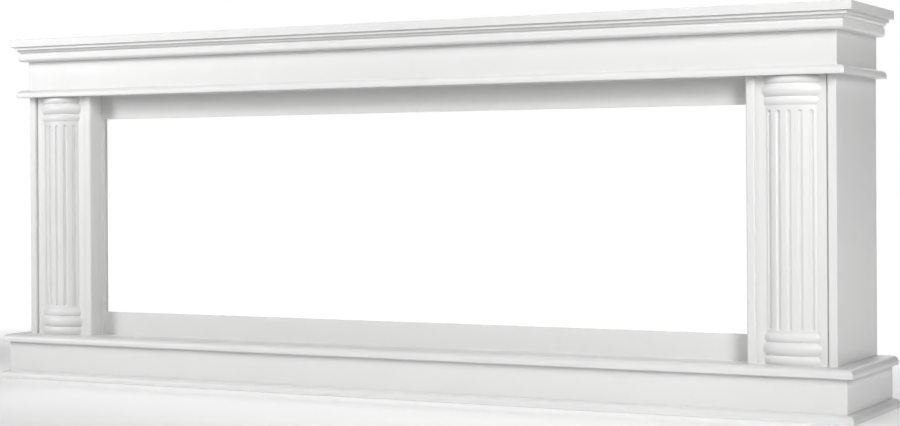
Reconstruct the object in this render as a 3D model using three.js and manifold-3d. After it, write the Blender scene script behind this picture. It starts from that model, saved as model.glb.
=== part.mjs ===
// Long, low fireplace mantelpiece of painted fibreboard, for a wide built-in fire.
// Millimetres. +X runs along the shelf, +Y points to the wall and +Z up.
// The origin is on the floor, in the middle of the footprint.

import * as THREE from 'three';
import { mergeVertices } from 'three/addons/utils/BufferGeometryUtils.js';
import Module from 'manifold-3d';

const wasm = await Module();
wasm.setup();

// Driving dimensions. "half" is from the middle of the mantelpiece to the end of a piece,
// and "depth" is from the flat back to the front of a piece.
const BOARD = 17;
const TOE = { half: 1009, depth: 321 };
const PLINTH = { half: 992.5, depth: 306.5, height: 67, arris: 4 };
const SLAB = { half: 1005.5, depth: 316 };
const LEG = { half: 962.5, depth: 266.5, width: 178, height: 547 };
const LEDGE = { half: 984.5, depth: 287.5 };
const FRIEZE = { half: 964, depth: 267.5, height: 66, arris: 2 };
const BED = { half: 981, depth: 284.5 };
const CORNICE = { half: 989.5, depth: 287.5 };
const SHELF = { half: 1000, depth: 293 };

// Edge profiles of the boards.
const NOSING = 12;
const BED_EDGE = { bottom: 7, top: 2 };
const CORNICE_EDGE = { foot: 10.5, footHeight: 3.5, step: 5, filletBottom: 10.5 };

// The legs: how far the front panel sits behind the boards on both sides of it, the shadow
// groove along its outer side, and the rounding of the boards' front arrises.
const PANEL_SETBACK = 5;
const GROOVE = { width: 3, depth: 6 };
const RETURN_ROUND = 5;
const LEG_ARRIS = 2;

// The panel between the legs, with the cut-out that shows the fire.
const SURROUND_DEPTH = 227;
const CUTOUT = { half: 777, margin: 52.5 };

// The flat half-columns, which are slices off the front of a thick turned column. The slice is
// measured on the shaft, from the leg's panel to the front, and a flute's pitch is in degrees.
const COLUMN = { shaft: 80, slice: 17.5 };
const BASE_RINGS = [
  { height: 17.5, radius: 83 },
  { height: 25, radius: 85.5 },
  { height: 17.5, radius: 83 },
];
const CAPITAL_RINGS = [
  { height: 16.5, radius: 83 },
  { height: 24.5, radius: 85.5 },
  { height: 15.5, radius: 83 },
];
const FLUTE = { count: 5, pitch: 15.5, radius: 5, depth: 3.5, aboveBase: 4, belowCapital: 9 };

// Facets in a quarter circle of a board's edge, around a column and around a flute.
const ARC_STEPS = 4;
const COLUMN_SIDES = 72;
const FLUTE_SIDES = 12;
const FLUTE_END_STEPS = 4;

// Cutting bodies run past what they cut by this much.
const PAST = 20;

const BACK = TOE.depth / 2;
const SLAB_BOTTOM = BOARD + PLINTH.height;
const LEG_BOTTOM = SLAB_BOTTOM + BOARD;
const LEDGE_BOTTOM = LEG_BOTTOM + LEG.height;
const FRIEZE_BOTTOM = LEDGE_BOTTOM + BOARD;
const BED_BOTTOM = FRIEZE_BOTTOM + FRIEZE.height;
const CORNICE_BOTTOM = BED_BOTTOM + BOARD;
const SHELF_BOTTOM = CORNICE_BOTTOM + BOARD;

const RIGHT = 1;
const LEFT = -1;
const LEG_INNER = LEG.half - LEG.width;
const PANEL_INNER = LEG_INNER + BOARD;
const PANEL_OUTER = LEG.half - BOARD;
const COLUMN_X = (PANEL_INNER + PANEL_OUTER) / 2;
const COLUMN_AXIS = COLUMN.shaft - COLUMN.slice;

const X_AXIS = new THREE.Vector3(1, 0, 0);
const Y_AXIS = new THREE.Vector3(0, 1, 0);
const Z_AXIS = new THREE.Vector3(0, 0, 1);

// The place of a front face that stands "depth" before the flat back.
function front(depth) {
  return BACK - depth;
}

// A closed three.js geometry as a solid that can be cut.
function toSolid(geometry) {
  const bare = geometry.clone();
  bare.deleteAttribute('normal');
  bare.deleteAttribute('uv');
  const merged = mergeVertices(bare);
  const triangles = [];
  for (let i = 0; i < merged.index.count; i += 3) {
    const [a, b, c] = [0, 1, 2].map((corner) => merged.index.getX(i + corner));
    if (a !== b && b !== c && c !== a) triangles.push(a, b, c);
  }
  const mesh = new wasm.Mesh({
    numProp: 3,
    vertProperties: new Float32Array(merged.attributes.position.array),
    triVerts: new Uint32Array(triangles),
  });
  return new wasm.Manifold(mesh);
}

// A cut solid back as a three.js geometry.
function toGeometry(solid) {
  const mesh = solid.getMesh();
  const geometry = new THREE.BufferGeometry();
  geometry.setAttribute('position', new THREE.BufferAttribute(mesh.vertProperties, mesh.numProp));
  geometry.setIndex(new THREE.BufferAttribute(mesh.triVerts, 1));
  geometry.computeVertexNormals();
  return geometry;
}

// An outline in Y and Z, drawn out along X from one place to another.
function extrudeAlongX(shape, from, to) {
  const geometry = new THREE.ExtrudeGeometry(shape, { depth: to - from, bevelEnabled: false });
  geometry.applyMatrix4(new THREE.Matrix4().makeBasis(Y_AXIS, Z_AXIS, X_AXIS));
  return geometry.translate(from, 0, 0);
}

// An outline in X and Z, drawn out along Y from one place to another.
function extrudeAlongY(shape, from, to) {
  const geometry = new THREE.ExtrudeGeometry(shape, { depth: to - from, bevelEnabled: false });
  geometry.applyMatrix4(new THREE.Matrix4().makeBasis(X_AXIS, Z_AXIS, Y_AXIS.clone().negate()));
  return geometry.translate(0, to, 0);
}

// An outline in X and Y, drawn up from the floor of its group.
function extrudeUp(shape, height) {
  return new THREE.ExtrudeGeometry(shape, { depth: height, bevelEnabled: false });
}

// A right-hand outline, or its mirror image for the left-hand side.
function onSide(shape, side) {
  const points = shape.getPoints(ARC_STEPS);
  return new THREE.Shape(points.map((point) => new THREE.Vector2(point.x * side, point.y)));
}

// Board edges, from the bottom face to the top face, as inset from the widest line and height.
function squareEdge() {
  return new THREE.Path().moveTo(0, 0).lineTo(0, BOARD);
}

function nosedEdge() {
  const edge = new THREE.Path().moveTo(0, 0).lineTo(0, BOARD - NOSING);
  return edge.absarc(NOSING, BOARD - NOSING, NOSING, Math.PI, Math.PI / 2, true);
}

function bedEdge() {
  const { bottom, top } = BED_EDGE;
  const edge = new THREE.Path().moveTo(bottom, 0);
  edge.absarc(bottom, bottom, bottom, -Math.PI / 2, -Math.PI, true);
  edge.lineTo(0, BOARD - top);
  return edge.absarc(top, BOARD - top, top, Math.PI, Math.PI / 2, true);
}

// A square foot, an ovolo, and a fillet that stands out over it.
function corniceEdge() {
  const { foot, footHeight, step, filletBottom } = CORNICE_EDGE;
  const edge = new THREE.Path().moveTo(foot, 0).lineTo(foot, footHeight);
  const reach = foot - step;
  const rise = filletBottom - footHeight;
  edge.absellipse(foot, filletBottom, reach, rise, -Math.PI / 2, -Math.PI, true, 0);
  return edge.lineTo(0, filletBottom).lineTo(0, BOARD);
}

// A board with the same edge along its front and both ends, mitred at the front corners.
function mouldedBoard(edge, { half, depth }) {
  const points = edge.getPoints(ARC_STEPS);
  const nose = points.map((point) => new THREE.Vector2(front(depth) + point.x, point.y));
  const rear = [new THREE.Vector2(BACK, BOARD), new THREE.Vector2(BACK, 0)];
  const along = extrudeAlongX(new THREE.Shape([...nose, ...rear]), -half - PAST, half + PAST);

  const left = points.map((point) => new THREE.Vector2(point.x - half, point.y));
  const right = points.map((point) => new THREE.Vector2(half - point.x, point.y)).reverse();
  const across = extrudeAlongY(new THREE.Shape([...left, ...right]), front(depth) - PAST, BACK + PAST);
  return toGeometry(toSolid(along).intersect(toSolid(across)));
}

// The front board of a low box, with both vertical front arrises rounded.
function boxFront({ half, depth, height, arris }) {
  const near = front(depth);
  const shape = new THREE.Shape();
  shape.moveTo(-half, near + BOARD).lineTo(-half, near + arris);
  shape.absarc(-half + arris, near + arris, arris, Math.PI, 1.5 * Math.PI, false);
  shape.lineTo(half - arris, near);
  shape.absarc(half - arris, near + arris, arris, 1.5 * Math.PI, 2 * Math.PI, false);
  shape.lineTo(half, near + BOARD);
  return extrudeUp(new THREE.Shape(shape.getPoints(ARC_STEPS)), height);
}

// An upright or end board between two places along X and two along Y.
function plainBoard(x0, x1, y0, y1, height) {
  const box = new THREE.BoxGeometry(Math.abs(x1 - x0), y1 - y0, height);
  return box.translate((x0 + x1) / 2, (y0 + y1) / 2, height / 2);
}

function boxEnd({ half, depth, height }, side) {
  return plainBoard(side * (half - BOARD), side * half, front(depth) + BOARD, BACK, height);
}

// The outer board of a leg, whose front edge shows as a strip.
function legSide(side) {
  const near = front(LEG.depth);
  const shape = new THREE.Shape();
  shape.moveTo(PANEL_OUTER, BACK).lineTo(PANEL_OUTER, near + LEG_ARRIS);
  shape.absarc(PANEL_OUTER + LEG_ARRIS, near + LEG_ARRIS, LEG_ARRIS, Math.PI, 1.5 * Math.PI, false);
  shape.lineTo(LEG.half - LEG_ARRIS, near);
  shape.absarc(LEG.half - LEG_ARRIS, near + LEG_ARRIS, LEG_ARRIS, 1.5 * Math.PI, 2 * Math.PI, false);
  shape.lineTo(LEG.half, BACK);
  return extrudeUp(onSide(shape, side), LEG.height);
}

// The front panel of a leg, with a shadow groove beside the outer board.
function legPanel(side) {
  const near = front(LEG.depth - PANEL_SETBACK);
  const grooveX = PANEL_OUTER - GROOVE.width;
  const shape = new THREE.Shape();
  shape.moveTo(PANEL_INNER, near + BOARD).lineTo(PANEL_INNER, near).lineTo(grooveX, near);
  shape.lineTo(grooveX, near + GROOVE.depth).lineTo(PANEL_OUTER, near + GROOVE.depth);
  shape.lineTo(PANEL_OUTER, near + BOARD);
  return extrudeUp(onSide(shape, side), LEG.height);
}

// The board that turns from the leg's front back to the surround, rounded on its inner arris.
function legReturn(side) {
  const near = front(LEG.depth);
  const shape = new THREE.Shape();
  shape.moveTo(LEG_INNER, front(SURROUND_DEPTH)).lineTo(LEG_INNER, near + RETURN_ROUND);
  shape.absarc(LEG_INNER + RETURN_ROUND, near + RETURN_ROUND, RETURN_ROUND, Math.PI, 1.5 * Math.PI, false);
  shape.lineTo(PANEL_INNER - LEG_ARRIS, near);
  shape.absarc(PANEL_INNER - LEG_ARRIS, near + LEG_ARRIS, LEG_ARRIS, 1.5 * Math.PI, 2 * Math.PI, false);
  shape.lineTo(PANEL_INNER, front(SURROUND_DEPTH));
  return extrudeUp(onSide(shape, side), LEG.height);
}

// The board behind the legs, from one outer board to the other, with the cut-out for the fire.
function surround() {
  const shape = new THREE.Shape();
  shape.moveTo(-PANEL_OUTER, 0).lineTo(PANEL_OUTER, 0);
  shape.lineTo(PANEL_OUTER, LEG.height).lineTo(-PANEL_OUTER, LEG.height).closePath();
  const hole = new THREE.Path();
  hole.moveTo(-CUTOUT.half, CUTOUT.margin).lineTo(-CUTOUT.half, LEG.height - CUTOUT.margin);
  hole.lineTo(CUTOUT.half, LEG.height - CUTOUT.margin).lineTo(CUTOUT.half, CUTOUT.margin).closePath();
  shape.holes.push(hole);
  return extrudeAlongY(shape, front(SURROUND_DEPTH), front(SURROUND_DEPTH) + BOARD);
}

function totalHeight(rings) {
  return rings.reduce((sum, ring) => sum + ring.height, 0);
}

// Three swelling rings, the shaft, and three rings again, from the axis and back to it.
function columnProfile() {
  const profile = new THREE.Path().moveTo(0, 0).lineTo(COLUMN.shaft, 0);
  const addRings = (rings, from) => {
    let level = from;
    for (const { height, radius } of rings) {
      const halfAngle = 2 * Math.atan2(radius - COLUMN.shaft, height / 2);
      const arc = height / 2 / Math.sin(halfAngle);
      profile.absarc(radius - arc, level + height / 2, arc, -halfAngle, halfAngle, false);
      level += height;
    }
  };
  addRings(BASE_RINGS, 0);
  addRings(CAPITAL_RINGS, LEG.height - totalHeight(CAPITAL_RINGS));
  return profile.lineTo(0, LEG.height).getPoints(ARC_STEPS);
}

// The round-ended rod that cuts one flute, at an angle from the front of the shaft.
function fluteCutter(degrees) {
  const bottom = totalHeight(BASE_RINGS) + FLUTE.aboveBase;
  const top = LEG.height - totalHeight(CAPITAL_RINGS) - FLUTE.belowCapital;
  const straight = top - bottom - 2 * FLUTE.radius;
  const rod = new THREE.CapsuleGeometry(FLUTE.radius, straight, FLUTE_END_STEPS, FLUTE_SIDES);
  const fromAxis = COLUMN.shaft + FLUTE.radius - FLUTE.depth;
  rod.rotateX(Math.PI / 2).translate(0, -fromAxis, (bottom + top) / 2);
  return rod.rotateZ(THREE.MathUtils.degToRad(degrees));
}

// The front slice of a turned column, with its flutes.
function halfColumn() {
  const turned = new THREE.LatheGeometry(columnProfile(), COLUMN_SIDES).rotateX(Math.PI / 2);
  const reach = COLUMN.shaft + PAST;
  const slice = plainBoard(-reach, reach, -reach, -COLUMN_AXIS, LEG.height);
  let column = toSolid(turned).intersect(toSolid(slice));
  const middle = (FLUTE.count - 1) / 2;
  for (let flute = 0; flute < FLUTE.count; flute += 1) {
    column = column.subtract(toSolid(fluteCutter((flute - middle) * FLUTE.pitch)));
  }
  return toGeometry(column);
}

// A named piece in its own coat of white satin paint.
function piece(name, geometry) {
  const paint = new THREE.MeshStandardMaterial({ color: 0xf2f2f0, roughness: 0.35, metalness: 0 });
  const mesh = new THREE.Mesh(geometry, paint);
  mesh.name = name;
  return mesh;
}

// A group of pieces that stand at the same height.
function storey(bottom, ...pieces) {
  const group = new THREE.Group();
  group.position.z = bottom;
  group.add(...pieces);
  return group;
}

function lowBox(name, box) {
  return [
    piece(`${name}_front`, boxFront(box)),
    piece(`${name}_end_left`, boxEnd(box, LEFT)),
    piece(`${name}_end_right`, boxEnd(box, RIGHT)),
  ];
}

function leg(name, side) {
  const column = piece(`half_column_${name}`, halfColumn());
  column.position.set(side * COLUMN_X, front(LEG.depth - PANEL_SETBACK) + COLUMN_AXIS, 0);
  return [
    piece(`leg_side_${name}`, legSide(side)),
    piece(`leg_panel_${name}`, legPanel(side)),
    piece(`leg_return_${name}`, legReturn(side)),
    column,
  ];
}

const mantelpiece = new THREE.Group();
mantelpiece.add(
  storey(0, piece('toe_board', mouldedBoard(nosedEdge(), TOE))),
  storey(BOARD, ...lowBox('plinth', PLINTH)),
  storey(SLAB_BOTTOM, piece('hearth_slab', mouldedBoard(nosedEdge(), SLAB))),
  storey(LEG_BOTTOM, ...leg('left', LEFT), ...leg('right', RIGHT), piece('surround_panel', surround())),
  storey(LEDGE_BOTTOM, piece('ledge_board', mouldedBoard(nosedEdge(), LEDGE))),
  storey(FRIEZE_BOTTOM, ...lowBox('frieze', FRIEZE)),
  storey(BED_BOTTOM, piece('bed_board', mouldedBoard(bedEdge(), BED))),
  storey(CORNICE_BOTTOM, piece('cornice_board', mouldedBoard(corniceEdge(), CORNICE))),
  storey(SHELF_BOTTOM, piece('top_shelf', mouldedBoard(squareEdge(), SHELF))),
);

export default mantelpiece;
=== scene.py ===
# %% [markdown]
# # A long, low fireplace mantelpiece
#
# The object is a white painted surround for a wide built-in fire: a stepped plinth, two legs with flat
# fluted half-columns, a recessed panel with a cut-out, and a frieze under a moulded shelf. It is made of
# fibreboard, routed along its edges and sprayed with satin paint. This lesson dresses its plain solids.
# Each board is made again with the soft arrises and routed edges that catch the light, and gets a paint
# that shows how it was put on. The solids come first, because every piece is measured from them.

# %% Load the solids and keep their box
import math

import bmesh
import bpy
from mathutils import Matrix, Vector


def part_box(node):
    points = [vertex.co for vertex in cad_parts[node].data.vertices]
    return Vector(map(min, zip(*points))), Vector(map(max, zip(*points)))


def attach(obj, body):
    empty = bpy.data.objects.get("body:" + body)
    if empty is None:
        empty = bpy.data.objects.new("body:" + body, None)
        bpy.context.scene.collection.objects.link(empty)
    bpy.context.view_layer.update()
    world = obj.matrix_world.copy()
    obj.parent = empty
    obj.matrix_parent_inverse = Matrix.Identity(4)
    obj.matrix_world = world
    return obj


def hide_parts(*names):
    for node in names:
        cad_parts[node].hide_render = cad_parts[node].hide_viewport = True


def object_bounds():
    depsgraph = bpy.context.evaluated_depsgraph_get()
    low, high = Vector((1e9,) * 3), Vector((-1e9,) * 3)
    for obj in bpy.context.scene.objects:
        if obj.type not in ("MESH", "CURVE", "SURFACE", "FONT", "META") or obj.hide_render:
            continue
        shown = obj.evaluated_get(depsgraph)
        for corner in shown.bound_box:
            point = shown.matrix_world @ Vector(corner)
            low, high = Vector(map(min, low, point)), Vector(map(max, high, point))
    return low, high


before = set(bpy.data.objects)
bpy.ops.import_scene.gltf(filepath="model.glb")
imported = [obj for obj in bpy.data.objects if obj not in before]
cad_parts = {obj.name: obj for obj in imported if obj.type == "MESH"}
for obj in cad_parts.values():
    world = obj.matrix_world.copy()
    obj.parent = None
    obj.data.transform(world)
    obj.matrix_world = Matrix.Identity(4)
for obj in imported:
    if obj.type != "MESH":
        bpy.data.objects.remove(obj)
cad_box = [list(corner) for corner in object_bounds()]
print(len(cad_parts), "solids, in a box from", cad_box[0], "to", cad_box[1])

# %% [markdown]
# ## The camera
#
# The picture was taken from the right, at about half the object's height, and its upright edges stay
# parallel. A camera that looks down would make them lean together, so this one stays level and shifts its
# film downwards instead. Its place, turn and focal length come from the corners of the boards: they are
# the values that bring the solids' corners closest to the same corners in the picture.

# %% Set up a level camera with a shifted film
IMAGE_WIDTH = 900
IMAGE_HEIGHT = 426
HORIZON_ROW = 173.6
FOCAL_LENGTH_PIXELS = 1943.4
FILM_WIDTH = 36.0
CAMERA_PLACE = Vector((2.031, -3.640, 0.466))
CAMERA_TURN = 0.490
CAMERA_ROLL = -0.006

camera_data = bpy.data.cameras.new("camera")
camera_data.sensor_fit = "HORIZONTAL"
camera_data.sensor_width = FILM_WIDTH
camera_data.lens = FILM_WIDTH * FOCAL_LENGTH_PIXELS / IMAGE_WIDTH
camera_data.shift_y = (HORIZON_ROW - IMAGE_HEIGHT / 2) / IMAGE_WIDTH

level = Matrix.Rotation(math.pi / 2, 4, "X")
turn = Matrix.Rotation(CAMERA_TURN, 4, "Z")
roll = Matrix.Rotation(CAMERA_ROLL, 4, "Z")
camera = bpy.data.objects.new("camera", camera_data)
camera.matrix_world = Matrix.Translation(CAMERA_PLACE) @ turn @ level @ roll
bpy.context.collection.objects.link(camera)
bpy.context.scene.camera = camera
print("camera lens", round(camera_data.lens, 1), "mm, shift", round(camera_data.shift_y, 4))

# %% [markdown]
# ## Shader maths that reads as arithmetic
#
# A finish is a graph of nodes, and a graph is hard to read as code. A small class wraps a socket, so that
# an expression such as `0.3 + 0.1 * mist` adds its own Math nodes. Every other node comes from one method,
# which sets the node's options first and then fills or links its sockets by name. A finish belongs to a
# material, and the room around the piece is built in the same way.

# %% A socket with arithmetic
def plug(socket, value):
    if isinstance(value, Wire):
        socket.id_data.links.new(value.socket, socket)
    else:
        socket.default_value = value


def named(sockets, name):
    return next(socket for socket in sockets if socket.enabled and socket.name == name)


class Wire:
    def __init__(self, socket):
        self.socket = socket

    def maths(self, operation, first, second):
        node = self.socket.id_data.nodes.new("ShaderNodeMath")
        node.operation = operation
        plug(node.inputs[0], first)
        plug(node.inputs[1], second)
        return Wire(node.outputs[0])

    def __add__(self, other):
        return self.maths("ADD", self, other)

    def __sub__(self, other):
        return self.maths("SUBTRACT", self, other)

    def __rsub__(self, other):
        return self.maths("SUBTRACT", other, self)

    def __mul__(self, other):
        return self.maths("MULTIPLY", self, other)

    __radd__ = __add__
    __rmul__ = __mul__


# %% A finish under way
class Finish:
    def __init__(self, owner, shader):
        owner.use_nodes = True
        self.owner = owner
        self.tree = owner.node_tree
        self.shader = self.tree.nodes[shader]

    def node(self, kind, output, settings=(), **sockets):
        made = self.tree.nodes.new("ShaderNode" + kind)
        for option, value in dict(settings).items():
            setattr(made, option, value)
        for name, value in sockets.items():
            plug(named(made.inputs, name), value)
        return Wire(named(made.outputs, output))

    def surface(self, **sockets):
        for name, value in sockets.items():
            plug(named(self.shader.inputs, name.replace("_", " ")), value)
        print("finish", self.owner.name, "with", len(self.tree.nodes), "nodes")
        return self.owner


def new_finish(name):
    return Finish(bpy.data.materials.new(name), "Principled BSDF")


# %% [markdown]
# ## The paint
#
# The boards are sprayed with a white satin paint. Close up, sprayed paint isn't dead flat: it dries with a
# very low, rounded unevenness a few millimetres across, its gloss drifts a little where the coat is
# thicker, and its white drifts by a percent or two. A plain colour with one roughness would look like
# plastic, so three noises on the object's own coordinates do this: a broad one for the white, a middle one
# for the gloss, and a fine one for the bump.

# %% Satin paint on the faces of the boards
THIN_WHITE = (0.785, 0.785, 0.782, 1.0)
FULL_WHITE = (0.815, 0.815, 0.812, 1.0)
MILLIMETRE = 0.001
WHITE_DRIFTS_PER_METRE = 2.2
GLOSS_DRIFTS_PER_METRE = 24.0
MIDDLE_OF_NOISE = 0.5


def sprayed(name, gloss, gloss_drift, peel_size, peel_height, stretch=(1.0, 1.0, 1.0)):
    paint = new_finish(name)
    place = paint.node("TexCoord", "Object")
    drift = paint.node("TexNoise", "Fac", Vector=place, Scale=WHITE_DRIFTS_PER_METRE, Detail=3.0)
    mist = paint.node("TexNoise", "Fac", Vector=place, Scale=GLOSS_DRIFTS_PER_METRE, Detail=4.0)
    drawn = paint.node("Mapping", "Vector", Vector=place, Scale=stretch)
    peel = paint.node("TexNoise", "Fac", Vector=drawn, Scale=1 / peel_size, Detail=2.0)
    white = paint.node("Mix", "Result", {"data_type": "RGBA"}, Factor=drift, A=THIN_WHITE, B=FULL_WHITE)
    bump = paint.node("Bump", "Normal", Height=peel, Strength=1.0, Distance=peel_height)
    roughness = gloss + gloss_drift * (mist - MIDDLE_OF_NOISE)
    return paint.surface(Base_Color=white, Roughness=roughness, Normal=bump)


satin_paint = sprayed("satin_paint", gloss=0.38, gloss_drift=0.16,
                      peel_size=3 * MILLIMETRE, peel_height=0.012 * MILLIMETRE)

# %% [markdown]
# ## Paint on routed and turned edges
#
# A router cuts into the softer core of the board, and a lathe leaves fine rings. Sanding takes most of it
# away, but the paint there dries a little rougher, with faint lines along the cut. Both kinds of line are
# level on this object, so one noise that is squeezed in height and drawn out sideways serves for both.

# %% Paint on the routed edges and the columns
ALONG_THE_CUT = (0.04, 0.04, 1.0)
routed_paint = sprayed("routed_paint", gloss=0.42, gloss_drift=0.16,
                       peel_size=1.6 * MILLIMETRE, peel_height=0.005 * MILLIMETRE, stretch=ALONG_THE_CUT)

# %% [markdown]
# ## Primer on the hidden faces
#
# Nobody sees the back once the piece stands against its wall, so a maker rolls one coat of primer there
# and saves the paint. Primer is matt and a little greyer, and the roller leaves a coarse stipple.

# %% Primer for the back and the insides
PRIMER_GREY = (0.70, 0.695, 0.68, 1.0)
PRIMER_WHITE = (0.79, 0.785, 0.77, 1.0)
PRIMER_PATCHES_PER_METRE = 14.0
STIPPLES_PER_METRE = 450.0
STIPPLE_HEIGHT = 0.04 * MILLIMETRE


def rolled(name):
    primer = new_finish(name)
    place = primer.node("TexCoord", "Object")
    cover = primer.node("TexNoise", "Fac", Vector=place, Scale=PRIMER_PATCHES_PER_METRE,
                        Detail=6.0, Roughness=0.6)
    stipple = primer.node("TexNoise", "Fac", Vector=place, Scale=STIPPLES_PER_METRE, Detail=2.0)
    grey = primer.node("Mix", "Result", {"data_type": "RGBA"}, Factor=cover, A=PRIMER_GREY, B=PRIMER_WHITE)
    bump = primer.node("Bump", "Normal", Height=stipple, Strength=1.0, Distance=STIPPLE_HEIGHT)
    return primer.surface(Base_Color=grey, Roughness=0.66 + 0.2 * cover, Normal=bump)


primer_coat = rolled("primer_coat")

# %% [markdown]
# ## From a bmesh to a piece
#
# Every piece ends the same way. Doubled vertices are merged and the faces turned outwards. Then each
# face gets a finish: primer where nobody looks, routed paint on what a cutter has shaped, and satin paint
# on the broad faces. Creases sharper than a limit stay crisp, and the Weighted Normal modifier keeps the
# broad faces flat right up to their rounded arrises. Without it, smooth shading would bend them.

# %% Finish a piece and put it in its node's place
CREASE = math.radians(35)
FINISHES = {"satin": satin_paint, "routed": routed_paint, "primer": primer_coat}
FINISH_ORDER = list(FINISHES)
BACK = cad_box[1][1]
FACING = 0.99
DOUBLED = 0.001 * MILLIMETRE


def at_the_back(face):
    return face.normal.y > FACING


def keep(bm, node, finish_of):
    bmesh.ops.remove_doubles(bm, verts=bm.verts, dist=DOUBLED)
    bmesh.ops.recalc_face_normals(bm, faces=bm.faces)
    bm.normal_update()
    for face in bm.faces:
        face.smooth = True
        face.material_index = FINISH_ORDER.index(finish_of(face))
    for edge in bm.edges:
        edge.smooth = edge.calc_face_angle(0.0) < CREASE
    mesh = bpy.data.meshes.new("painted_" + node)
    bm.to_mesh(mesh)
    bm.free()
    for name in FINISH_ORDER:
        mesh.materials.append(FINISHES[name])
    piece = bpy.data.objects.new("painted_" + node, mesh)
    bpy.context.collection.objects.link(piece)
    shading = piece.modifiers.new("even shading", "WEIGHTED_NORMAL")
    shading.keep_sharp = True
    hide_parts(node)
    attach(piece, "root")
    print(piece.name, len(mesh.polygons), "faces")


# %% [markdown]
# ## Boards from blocks
#
# A board starts as a block that fills its solid's box, as a maker cuts it to size first. A router then
# runs along some of its edges, and bmesh's bevel is that router: an offset for the cutter's radius,
# enough segments to look round, and a profile of 0.5 for a true quarter circle. Last, fine sandpaper
# takes the sharpness off the edges that are left, which is a bevel of less than a millimetre.

# %% Cut a block, rout it and ease it
EASED = 0.8 * MILLIMETRE
EASED_STEPS = 3
SHARP = math.radians(50)
ON_THE_LINE = 0.1 * MILLIMETRE


def block(node):
    low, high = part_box(node)
    bm = bmesh.new()
    bmesh.ops.create_cube(bm, size=1.0)
    bmesh.ops.scale(bm, vec=high - low, verts=bm.verts)
    bmesh.ops.translate(bm, vec=(low + high) / 2, verts=bm.verts)
    return bm, low, high


def near(first, second):
    return abs(first - second) < ON_THE_LINE


def edges_where(bm, test):
    return [edge for edge in bm.edges if all(test(vert.co) for vert in edge.verts)]


def rout(bm, edges, radius, steps):
    bmesh.ops.bevel(bm, geom=edges, offset=radius, offset_type="OFFSET", affect="EDGES",
                    segments=steps, profile=0.5, material=-1)


def ease(bm, edges):
    rout(bm, edges, EASED, EASED_STEPS)


def sharp_edges(bm):
    return [edge for edge in bm.edges if edge.calc_face_angle(0.0) > SHARP]


# %% [markdown]
# ## The toe board, the hearth slab and the ledge
#
# These three boards carry the same nosing: a quarter round along the top of the front and of both ends,
# with a small upright below it. The two runs meet in a mitre at the corners, which is what a bevel makes
# where two of a corner's three edges are cut. The back edge stays square, because it meets the wall.

# %% Boards with a rounded top edge
NOSING = 12 * MILLIMETRE
NOSING_STEPS = 12


def board_finish(face):
    if at_the_back(face):
        return "primer"
    return "satin" if abs(face.normal.z) > FACING else "routed"


def free_edges(bm, height):
    along = edges_where(bm, lambda co: near(co.z, height))
    return [edge for edge in along if not all(near(vert.co.y, BACK) for vert in edge.verts)]


for node in ("toe_board", "hearth_slab", "ledge_board"):
    bm, low, high = block(node)
    rout(bm, free_edges(bm, high.z), NOSING, NOSING_STEPS)
    ease(bm, free_edges(bm, low.z))
    keep(bm, node, board_finish)

# %% [markdown]
# ## The bed moulding and the shelf
#
# Under the cornice lies a board whose lower edge is well rounded and whose upper edge is only softened.
# The shelf on top is square, and its edges are just eased so that they don't cut a hand.

# %% The bed board and the shelf
BED_BOTTOM_ROUND = 7 * MILLIMETRE
BED_BOTTOM_STEPS = 10
BED_TOP_ROUND = 2 * MILLIMETRE
BED_TOP_STEPS = 5

bm, low, high = block("bed_board")
bottom_edges = free_edges(bm, low.z)
top_edges = free_edges(bm, high.z)
rout(bm, bottom_edges, BED_BOTTOM_ROUND, BED_BOTTOM_STEPS)
rout(bm, [edge for edge in top_edges if edge.is_valid], BED_TOP_ROUND, BED_TOP_STEPS)
keep(bm, "bed_board", board_finish)

bm = block("top_shelf")[0]
ease(bm, sharp_edges(bm))
keep(bm, "top_shelf", board_finish)

# %% [markdown]
# ## The cornice
#
# The cornice board has a real moulding: a square foot, a quarter-round that swells out over it, and a
# flat fillet on top. A bevel can't step out again, so this board is lifted in layers, as a pastry is
# stacked. Its bottom face is drawn up a little at a time, and each new face is resized to the moulding's
# line at that height. Resizing about the middle of the back keeps the back edge where it is. Extruding
# leaves the face that it starts from, which is wanted only at the very bottom, so the others are deleted.

# %% Lift the cornice layer by layer
FOOT_INSET = 10.5 * MILLIMETRE
FOOT_HEIGHT = 3.5 * MILLIMETRE
FILLET_BOTTOM = 10.5 * MILLIMETRE
FILLET_STEP = 5 * MILLIMETRE
OVOLO_STEPS = 12


def cornice_line(height):
    quarter = math.pi / 2
    line = [(FOOT_INSET, 0.0), (FOOT_INSET, FOOT_HEIGHT)]
    reach = FOOT_INSET - FILLET_STEP
    rise = FILLET_BOTTOM - FOOT_HEIGHT
    for step in range(1, OVOLO_STEPS + 1):
        angle = quarter * step / OVOLO_STEPS
        line.append((FOOT_INSET - reach * math.sin(angle), FILLET_BOTTOM - rise * math.cos(angle)))
    return line + [(0.0, FILLET_BOTTOM), (0.0, height)]


def layer_size(low, high, inset):
    return Vector((high.x - low.x - 2 * inset, high.y - low.y - inset, 1.0))


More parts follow.
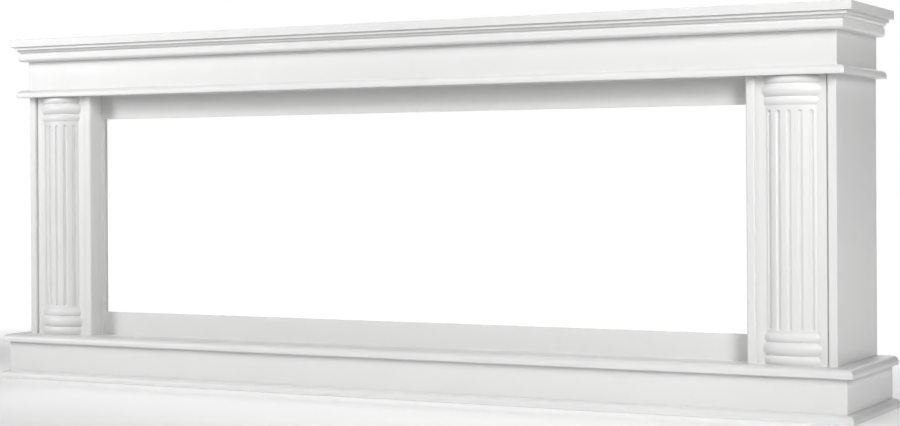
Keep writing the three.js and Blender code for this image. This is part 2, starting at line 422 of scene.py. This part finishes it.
low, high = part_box("cornice_board")
back_middle = Matrix.Translation((0.0, -high.y, 0.0))
bm = bmesh.new()
bmesh.ops.create_grid(bm, x_segments=1, y_segments=1, size=0.5)
bmesh.ops.translate(bm, vec=(0.0, high.y - 0.5, low.z), verts=bm.verts)
size = Vector((1.0, 1.0, 1.0))
level_now = 0.0
top_face = bm.faces[:]
for step, (inset, level_next) in enumerate(cornice_line(high.z - low.z)):
    layer_below = top_face
    if step:
        lifted = bmesh.ops.extrude_face_region(bm, geom=layer_below)["geom"]
        top_face = [part for part in lifted if isinstance(part, bmesh.types.BMFace)]
    if step > 1:
        bmesh.ops.delete(bm, geom=layer_below, context="FACES_ONLY")
    corners = top_face[0].verts[:]
    wanted = layer_size(low, high, inset)
    grow = Vector((wanted.x / size.x, wanted.y / size.y, 1.0))
    bmesh.ops.scale(bm, vec=grow, space=back_middle, verts=corners)
    bmesh.ops.translate(bm, vec=(0.0, 0.0, level_next - level_now), verts=corners)
    size, level_now = wanted, level_next
keep(bm, "cornice_board", board_finish)

# %% [markdown]
# ## The low boxes: plinth and frieze
#
# A long front board and two short end boards make a box that is open at the back. The corners of the
# front board are rounded with a larger cutter on the plinth, which people's feet meet, than on the
# frieze. The joint between a front and its ends is filled before painting, so its edges stay unbroken.

# %% The plinth and the frieze
PLINTH_ROUND = 4 * MILLIMETRE
FRIEZE_ROUND = 2 * MILLIMETRE
ROUND_STEPS = 8


def upright_edge(bm, x, y):
    return edges_where(bm, lambda co: near(co.x, x) and near(co.y, y))


def faces_the_middle(face):
    return face.normal.x * math.copysign(1.0, face.calc_center_median().x) < -FACING


def front_finish(face):
    return "primer" if at_the_back(face) else "satin"


def end_finish(face):
    return "primer" if at_the_back(face) or faces_the_middle(face) else "satin"


for name, radius in (("plinth", PLINTH_ROUND), ("frieze", FRIEZE_ROUND)):
    bm, low, high = block(name + "_front")
    rout(bm, upright_edge(bm, low.x, low.y) + upright_edge(bm, high.x, low.y), radius, ROUND_STEPS)
    keep(bm, name + "_front", front_finish)
    for side in ("_end_left", "_end_right"):
        keep(block(name + side)[0], name + side, end_finish)

# %% [markdown]
# ## The legs
#
# A leg is three boards. The outer board shows its end face to the side and its edge to the front. The
# front panel sits a little behind that edge, with a narrow groove between them. Paint half fills the
# groove, so it is shallow and draws only a fine grey line.
# On the inner side a third board turns the corner into the recess, and its arris is well rounded because
# it stands next to the fire's frame.

# %% The outer boards, the panels and the returns
LEG_ROUND = 2 * MILLIMETRE
RETURN_ROUND = 5 * MILLIMETRE
GROOVE_WIDTH = 3 * MILLIMETRE
GROOVE_DEPTH = 2 * MILLIMETRE


def behind(face, depth):
    return face.calc_center_median().y > depth


def grooved_panel(node, outer_is_high):
    low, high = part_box(node)
    outer, inner = (high.x, low.x) if outer_is_high else (low.x, high.x)
    edge = outer - math.copysign(GROOVE_WIDTH, outer - inner)
    floor = low.y + GROOVE_DEPTH
    bm = bmesh.new()
    plan = ((inner, high.y), (inner, low.y), (edge, low.y), (edge, floor), (outer, floor), (outer, high.y))
    face = bm.faces.new([bm.verts.new((x, y, low.z)) for x, y in plan])
    lifted = bmesh.ops.extrude_face_region(bm, geom=[face])["geom"]
    top = [part for part in lifted if isinstance(part, bmesh.types.BMVert)]
    bmesh.ops.translate(bm, vec=(0.0, 0.0, high.z - low.z), verts=top)
    ease(bm, upright_edge(bm, edge, low.y))
    return bm


for side, outer_is_high in (("left", False), ("right", True)):
    bm, low, high = block("leg_side_" + side)
    rout(bm, upright_edge(bm, low.x, low.y) + upright_edge(bm, high.x, low.y), LEG_ROUND, ROUND_STEPS)
    panel_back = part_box("leg_panel_" + side)[1].y
    everything = bm.verts[:] + bm.edges[:] + bm.faces[:]
    bmesh.ops.bisect_plane(bm, geom=everything, plane_co=(0.0, panel_back, 0.0), plane_no=(0.0, 1.0, 0.0))
    keep(bm, "leg_side_" + side, lambda face: end_finish(face) if behind(face, panel_back) else "satin")

    bm, low, high = block("leg_return_" + side)
    inner, outer = (low.x, high.x) if outer_is_high else (high.x, low.x)
    rout(bm, upright_edge(bm, inner, low.y), RETURN_ROUND, ROUND_STEPS)
    rout(bm, upright_edge(bm, outer, low.y), LEG_ROUND, ROUND_STEPS)
    keep(bm, "leg_return_" + side, front_finish)

    keep(grooved_panel("leg_panel_" + side, outer_is_high), "leg_panel_" + side, front_finish)

# %% [markdown]
# ## The surround panel
#
# Behind the legs one board runs from end to end, with a cut-out for the fire. Four straight cuts through
# a block mark the cut-out on both faces. The pieces of face inside it are taken away, and the two open
# rims are bridged to give the sawn edge its thickness. That edge looks thin from the front, so a chamfer
# takes most of it away at the back.

# %% Cut the opening in the surround
CUTOUT_HALF = 777 * MILLIMETRE
CUTOUT_MARGIN = 52.5 * MILLIMETRE
CUTOUT_CHAMFER = 14 * MILLIMETRE
FLAT_CHAMFER = 1

bm, low, high = block("surround_panel")
sill = low.z + CUTOUT_MARGIN
head = high.z - CUTOUT_MARGIN
for place, direction in (
    ((-CUTOUT_HALF, 0.0, 0.0), (1.0, 0.0, 0.0)),
    ((CUTOUT_HALF, 0.0, 0.0), (1.0, 0.0, 0.0)),
    ((0.0, 0.0, sill), (0.0, 0.0, 1.0)),
    ((0.0, 0.0, head), (0.0, 0.0, 1.0)),
):
    everything = bm.verts[:] + bm.edges[:] + bm.faces[:]
    bmesh.ops.bisect_plane(bm, geom=everything, plane_co=place, plane_no=direction)


def inside_the_cutout(face):
    middle = face.calc_center_median()
    return abs(middle.x) < CUTOUT_HALF and sill < middle.z < head


bmesh.ops.delete(bm, geom=[face for face in bm.faces if inside_the_cutout(face)], context="FACES_ONLY")
rims = [edge for edge in bm.edges if edge.is_boundary]
bmesh.ops.bridge_loops(bm, edges=rims)
bmesh.ops.recalc_face_normals(bm, faces=bm.faces)


def at_a_cutout_corner(co):
    return near(abs(co.x), CUTOUT_HALF) and (near(co.z, sill) or near(co.z, head))


back_rim = edges_where(bm, lambda co: near(co.y, high.y) and at_a_cutout_corner(co))
rout(bm, back_rim, CUTOUT_CHAMFER, FLAT_CHAMFER)
front_rim = edges_where(bm, lambda co: near(co.y, low.y) and at_a_cutout_corner(co))
ease(bm, front_rim)
keep(bm, "surround_panel", front_finish)

# %% [markdown]
# ## The fluted half-columns
#
# Each column is a slice off a thick turned post, with three rings at the foot, three at the head and five
# flutes between. A lathe works with a profile and a turn, and so does this: one vertex is spun along each
# ring's bulge and drawn up along the shaft, and the whole line is then spun about the post's axis. The
# flutes are cut by moving the shaft's vertices inwards, as far as a round-nosed cutter would reach there.
# A boolean cut would leave ragged edges, while this leaves even ones that paint has softened.

# %% Turn the profile
COLUMN_RADIUS = 80 * MILLIMETRE
COLUMN_SLICE = 17.5 * MILLIMETRE
SMALL_RING = 83 * MILLIMETRE
LARGE_RING = 85.5 * MILLIMETRE
BASE_RINGS = ((17.5, SMALL_RING), (25.0, LARGE_RING), (17.5, SMALL_RING))
CAPITAL_RINGS = ((16.5, SMALL_RING), (24.5, LARGE_RING), (15.5, SMALL_RING))
RING_STEPS = 12
FLUTES = 5
FLUTE_PITCH = math.radians(15.5)
FLUTE_RADIUS = 5 * MILLIMETRE
FLUTE_DEPTH = 3.5 * MILLIMETRE
FLUTE_ABOVE_BASE = 4 * MILLIMETRE
FLUTE_BELOW_CAPITAL = 9 * MILLIMETRE
FLUTE_SOFTNESS = 0.5 * MILLIMETRE
SWEEP = math.radians(88)
SWEEP_STEPS = 352
FINE_STEP = 0.4 * MILLIMETRE
SHAFT_STEPS = 8
FLUTE_END = 1.2 * FLUTE_RADIUS
AXIS_BEHIND = COLUMN_RADIUS - COLUMN_SLICE
PROFILE_START = 0.9 * AXIS_BEHIND


def rings_height(rings):
    return sum(height for height, radius in rings) * MILLIMETRE


def draw(bm, vert, to, cuts=1):
    start = vert.co.copy()
    for cut in range(1, cuts + 1):
        vert = bmesh.ops.extrude_vert_indiv(bm, verts=[vert])["verts"][0]
        vert.co = start.lerp(Vector(to), cut / cuts)
    return vert


def draw_shaft(bm, vert, height, cuts):
    return draw(bm, vert, (0.0, -COLUMN_RADIUS, height), cuts)


def turn_rings(bm, vert, rings):
    for height, radius in rings:
        half_height = height * MILLIMETRE / 2
        half_angle = 2 * math.atan2(radius - COLUMN_RADIUS, half_height)
        arc = half_height / math.sin(half_angle)
        centre = (0.0, arc - radius, vert.co.z + half_height)
        spun = bmesh.ops.spin(bm, geom=[vert], cent=centre, axis=(1.0, 0.0, 0.0),
                              angle=-2 * half_angle, steps=RING_STEPS)
        vert = next(part for part in spun["geom_last"] if isinstance(part, bmesh.types.BMVert))
    return vert


def flute_depth(angle, height, bottom, top):
    clear = FLUTE_RADIUS - FLUTE_DEPTH
    nearest = min(max(height, bottom + FLUTE_RADIUS), top - FLUTE_RADIUS)
    flute = max(-(FLUTES // 2), min(FLUTES // 2, round(angle / FLUTE_PITCH)))
    sideways = COLUMN_RADIUS * math.sin(angle - flute * FLUTE_PITCH)
    from_axis = math.hypot(sideways, height - nearest)
    mouth = math.sqrt(FLUTE_RADIUS**2 - clear**2)
    if from_axis < mouth:
        depth = math.sqrt(FLUTE_RADIUS**2 - from_axis**2) - clear
    else:
        depth = mouth - from_axis
    return (depth + math.hypot(depth, FLUTE_SOFTNESS)) / 2


# %% Spin, flute and slice the columns
def half_column(height):
    base_top = rings_height(BASE_RINGS)
    capital_bottom = height - rings_height(CAPITAL_RINGS)
    flute_bottom = base_top + FLUTE_ABOVE_BASE
    flute_top = capital_bottom - FLUTE_BELOW_CAPITAL
    low_end = flute_bottom + FLUTE_END
    high_end = flute_top - FLUTE_END

    bm = bmesh.new()
    vert = bm.verts.new((0.0, -PROFILE_START, 0.0))
    vert = draw(bm, vert, (0.0, -COLUMN_RADIUS, 0.0))
    vert = turn_rings(bm, vert, BASE_RINGS)
    vert = draw_shaft(bm, vert, low_end, round((low_end - base_top) / FINE_STEP))
    vert = draw_shaft(bm, vert, high_end, SHAFT_STEPS)
    vert = draw_shaft(bm, vert, capital_bottom, round((capital_bottom - high_end) / FINE_STEP))
    vert = turn_rings(bm, vert, CAPITAL_RINGS)
    draw(bm, vert, (0.0, -PROFILE_START, height))

    bmesh.ops.rotate(bm, cent=(0.0, 0.0, 0.0), matrix=Matrix.Rotation(-SWEEP / 2, 3, "Z"), verts=bm.verts)
    bmesh.ops.spin(bm, geom=bm.verts[:] + bm.edges[:], cent=(0.0, 0.0, 0.0), axis=(0.0, 0.0, 1.0),
                   angle=SWEEP, steps=SWEEP_STEPS)
    for vert in bm.verts:
        on_shaft = base_top + ON_THE_LINE < vert.co.z < capital_bottom - ON_THE_LINE
        if on_shaft:
            angle = math.atan2(vert.co.x, -vert.co.y)
            inward = 1 - flute_depth(angle, vert.co.z, flute_bottom, flute_top) / COLUMN_RADIUS
            vert.co.x *= inward
            vert.co.y *= inward

    everything = bm.verts[:] + bm.edges[:] + bm.faces[:]
    bmesh.ops.bisect_plane(bm, geom=everything, plane_co=(0.0, -AXIS_BEHIND, 0.0), plane_no=(0.0, 1.0, 0.0),
                           clear_outer=True)
    rim = [edge for edge in bm.edges if edge.is_boundary]
    bmesh.ops.holes_fill(bm, edges=rim, sides=0)
    return bm


def column_finish(face):
    return "primer" if at_the_back(face) else "routed"


left_low, left_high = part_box("half_column_left")
column = half_column(left_high.z - left_low.z)
for node in ("half_column_left", "half_column_right"):
    low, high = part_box(node)
    bm = column.copy()
    place = Vector(((low.x + high.x) / 2, high.y + AXIS_BEHIND, low.z))
    bmesh.ops.translate(bm, vec=place, verts=bm.verts)
    keep(bm, node, column_finish)
column.free()

# %% [markdown]
# ## The floor
#
# The piece stands on a pale floor that runs out into white, as a paper sweep in a studio does. A floor
# that is white all over throws its light up into the mouldings and washes out their shadows. So a wide
# pool of it, before the piece and under it, is pale and takes shadows, and it also has a faint painted glow
# of its own that lifts it towards white. Beyond the pool's edge the floor glows white, a painted glow that
# grows with the distance from the pool's middle.

# %% A floor that runs out into white
FLOOR_SIZE = 30.0
FLOOR_DROP = 0.3 * MILLIMETRE
FLOOR_WHITE = (0.9, 0.9, 0.9, 1.0)
# Painted glow of the floor: faint inside the pool, pure white beyond it, though the floor is no lamp.
FLOOR_GLOW = (0.15, 0.15, 0.15, 1.0)
NO_LIGHT = (0.0, 0.0, 0.0, 1.0)
PURE_WHITE = (1.0, 1.0, 1.0, 1.0)
POOL_MIDDLE = (0.0, -4.0, 0.0)
POOL_EDGE = 4.2
POOL_OUTSIDE = 5.6
FLOOR_ROUGHNESS = 0.9

floor_finish = new_finish("pale_floor")
floor_place = floor_finish.node("TexCoord", "Object")
from_middle = floor_finish.node("Mapping", "Vector", {"vector_type": "TEXTURE"}, Vector=floor_place,
                                Location=POOL_MIDDLE)
distance = floor_finish.node("VectorMath", "Value", {"operation": "LENGTH"}, Vector=from_middle)
far = floor_finish.node("MapRange", "Result", {"interpolation_type": "SMOOTHSTEP"}, Value=distance,
                        **{"From Min": POOL_EDGE, "From Max": POOL_OUTSIDE})
lit = floor_finish.node("Mix", "Result", {"data_type": "RGBA"}, Factor=far, A=FLOOR_WHITE, B=NO_LIGHT)
glow = floor_finish.node("Mix", "Result", {"data_type": "RGBA"}, Factor=far, A=FLOOR_GLOW, B=PURE_WHITE)
pale_floor = floor_finish.surface(Base_Color=lit, Roughness=FLOOR_ROUGHNESS, Emission_Color=glow,
                                  Emission_Strength=1.0)

bm = bmesh.new()
bmesh.ops.create_grid(bm, x_segments=1, y_segments=1, size=FLOOR_SIZE)
bmesh.ops.translate(bm, vec=(0.0, 0.0, -FLOOR_DROP), verts=bm.verts)
floor_mesh = bpy.data.meshes.new("floor")
bm.to_mesh(floor_mesh)
bm.free()
floor_mesh.materials.append(pale_floor)
floor = bpy.data.objects.new("floor", floor_mesh)
bpy.context.collection.objects.link(floor)
print("floor", 2 * FLOOR_SIZE, "m wide")

# %% [markdown]
# ## The light
#
# Each column is brightest on its own outer side, and the fronts are brighter than the ends, so a softbox
# stands out to the left and another to the right. A grid on each keeps its light on its own leg, which a
# lamp's spread does here. A wide softbox overhead fills the long boards, and one behind lights the back.
# The room itself is dim, to keep the shadows in the mouldings deep, and white only behind the piece as
# the camera sees it.

# %% The softboxes
def softbox(name, place, aim, width, height, spread, watts):
    light = bpy.data.lights.new(name, "AREA")
    light.shape = "RECTANGLE"
    light.size = width
    light.size_y = height
    light.spread = math.radians(spread)
    light.energy = watts
    lamp = bpy.data.objects.new(name, light)
    towards = (Vector(aim) - Vector(place)).to_track_quat("-Z", "Y").to_matrix().to_4x4()
    lamp.matrix_world = Matrix.Translation(place) @ towards
    lamp.visible_camera = False
    bpy.context.collection.objects.link(lamp)
    print(name, watts, "W at", place)


softbox("softbox_left", place=(-2.8, -2.0, 1.4), aim=(-0.75, 0.0, 0.4),
        width=1.0, height=1.2, spread=65, watts=6.8)
softbox("softbox_right", place=(2.8, -2.0, 1.4), aim=(0.75, 0.0, 0.4),
        width=1.0, height=1.2, spread=65, watts=8.0)
softbox("softbox_middle", place=(0.0, -1.4, 1.8), aim=(0.0, 0.0, 0.35),
        width=2.4, height=0.8, spread=180, watts=18.5)
softbox("softbox_back", place=(0.0, 2.4, 2.0), aim=(0.0, 0.0, 0.3),
        width=2.4, height=1.0, spread=180, watts=30)

# %% [markdown]
# ## The room and the print
#
# The room is a world whose strength depends on the direction: a dot product tells how nearly a ray runs
# towards the white wall. White paint in soft light gives a flat picture, so it is developed with more
# contrast, as a photographer would print it. The scene's gamma does that after the light is worked out.

# %% A dim room with one white wall
ROOM_GREY = 0.05
WHITE_WALL_TOWARDS = Vector((-0.47, 0.88, 0.0)).normalized()
WALL_FADES_OUT = 0.8
WALL_IS_WHITE = 0.93
PRINT_GAMMA = 0.78

room = Finish(bpy.data.worlds.new("room"), "Background")
looking = room.node("TexCoord", "Generated")
along = room.node("VectorMath", "Value", {"operation": "DOT_PRODUCT"}, Vector=looking)
# Both inputs of this node are named Vector, so the second is filled by its number.
plug(along.socket.node.inputs[1], WHITE_WALL_TOWARDS)
wall = room.node("MapRange", "Result", {"interpolation_type": "SMOOTHSTEP"}, Value=along,
                 **{"From Min": WALL_FADES_OUT, "From Max": WALL_IS_WHITE, "To Min": ROOM_GREY})
bpy.context.scene.world = room.surface(Color=PURE_WHITE, Strength=wall)
bpy.context.scene.view_settings.view_transform = "Standard"
bpy.context.scene.view_settings.gamma = PRINT_GAMMA
